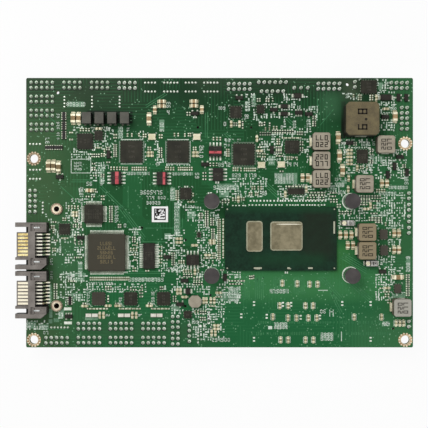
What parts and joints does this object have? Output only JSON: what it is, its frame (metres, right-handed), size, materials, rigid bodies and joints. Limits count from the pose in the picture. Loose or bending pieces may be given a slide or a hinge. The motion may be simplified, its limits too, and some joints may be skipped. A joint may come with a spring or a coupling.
{
  "type": "embedded motherboard",
  "caption": "Single-board computer board with a bare-die processor, cooler posts, edge drive connectors, moulded inductors, and pin headers and a memory socket underneath.",
  "frame": {"origin": "axis of the front left mounting hole at the board's underside", "axes": "+X along the board's length, away from the drive connectors; +Y to its rear edge; +Z out of the processor side"},
  "size_m": [0.1491, 0.1017, 0.0138],
  "materials": {
    "circuit_board": "smooth, slightly glossy",
    "mounting_pads": "satin plated metal",
    "cpu_substrate": "smooth, slightly glossy",
    "cpu_die_large": "smooth, slightly glossy",
    "cpu_die_small": "smooth, slightly glossy",
    "cpu_solder_balls": "bright tinned metal",
    "cpu_capacitors": "matt moulded",
    "cooler_posts": "bright tinned metal",
    "cooler_post_caps": "matt moulded",
    "threaded_inserts": "satin plated metal",
    "drive_connector_housings": "matt moulded",
    "drive_connector_contacts": "satin plated metal",
    "drive_connector_tabs": "bright tinned metal",
    "quad_flat_bodies": "matt moulded",
    "quad_flat_leads": "bright tinned metal",
    "outline_bodies": "matt moulded",
    "outline_leads": "bright tinned metal",
    "leadless_bodies": "matt moulded",
    "leadless_terminals": "bright tinned metal",
    "large_inductor": "matt moulded",
    "square_inductors": "matt moulded",
    "small_inductor": "matt moulded",
    "inductor_terminals": "bright tinned metal",
    "line_chokes": "matt moulded",
    "line_choke_ends": "bright tinned metal",
    "crystals": "smooth, slightly glossy",
    "crystal_pads": "bright tinned metal",
    "diode_bodies": "matt moulded",
    "diode_ends": "bright tinned metal",
    "transistor_bodies": "matt moulded",
    "transistor_leads": "bright tinned metal",
    "resistor_arrays": "matt moulded",
    "resistor_array_ends": "bright tinned metal",
    "large_capacitors": "matt moulded",
    "large_capacitor_ends": "bright tinned metal",
    "middle_capacitors": "matt moulded",
    "middle_capacitor_ends": "bright tinned metal",
    "small_capacitors": "matt moulded",
    "small_capacitor_ends": "bright tinned metal",
    "tiny_capacitors": "matt moulded",
    "tiny_resistors": "smooth, slightly glossy",
    "white_chips": "matt moulded",
    "moulded_capacitors": "matt moulded",
    "moulded_capacitor_ends": "bright tinned metal",
    "paper_label": "matt moulded",
    "header_bases": "matt moulded",
    "header_pins": "satin plated metal",
    "header_solder": "bright tinned metal",
    "wafer_housings": "matt moulded",
    "wafer_pins": "satin plated metal",
    "wafer_solder": "bright tinned metal",
    "memory_socket": "matt moulded",
    "memory_contacts_near": "satin plated metal",
    "memory_contacts_far": "satin plated metal",
    "memory_latches": "bright tinned metal"
  },
  "bodies": {
    "root": {"circuit_board": "circuit_board", "mounting_pads": "mounting_pads", "cpu_substrate": "cpu_substrate", "cpu_die_large": "cpu_die_large", "cpu_die_small": "cpu_die_small", "cpu_solder_balls": "cpu_solder_balls", "cpu_capacitors": "cpu_capacitors", "cooler_posts": "cooler_posts", "cooler_post_caps": "cooler_post_caps", "threaded_inserts": "threaded_inserts", "drive_connector_housings": "drive_connector_housings", "drive_connector_contacts": "drive_connector_contacts", "drive_connector_tabs": "drive_connector_tabs", "quad_flat_bodies": "quad_flat_bodies", "quad_flat_leads": "quad_flat_leads", "outline_bodies": "outline_bodies", "outline_leads": "outline_leads", "leadless_bodies": "leadless_bodies", "leadless_terminals": "leadless_terminals", "large_inductor": "large_inductor", "square_inductors": "square_inductors", "small_inductor": "small_inductor", "inductor_terminals": "inductor_terminals", "line_chokes": "line_chokes", "line_choke_ends": "line_choke_ends", "crystals": "crystals", "crystal_pads": "crystal_pads", "diode_bodies": "diode_bodies", "diode_ends": "diode_ends", "transistor_bodies": "transistor_bodies", "transistor_leads": "transistor_leads", "resistor_arrays": "resistor_arrays", "resistor_array_ends": "resistor_array_ends", "large_capacitors": "large_capacitors", "large_capacitor_ends": "large_capacitor_ends", "middle_capacitors": "middle_capacitors", "middle_capacitor_ends": "middle_capacitor_ends", "small_capacitors": "small_capacitors", "small_capacitor_ends": "small_capacitor_ends", "tiny_capacitors": "tiny_capacitors", "tiny_resistors": "tiny_resistors", "white_chips": "white_chips", "moulded_capacitors": "moulded_capacitors", "moulded_capacitor_ends": "moulded_capacitor_ends", "paper_label": "paper_label", "header_bases": "header_bases", "header_pins": "header_pins", "header_solder": "header_solder", "wafer_housings": "wafer_housings", "wafer_pins": "wafer_pins", "wafer_solder": "wafer_solder", "memory_socket": "memory_socket", "memory_contacts_near": "memory_contacts_near", "memory_contacts_far": "memory_contacts_far", "memory_latches": "memory_latches"}
  },
  "joints": []
}
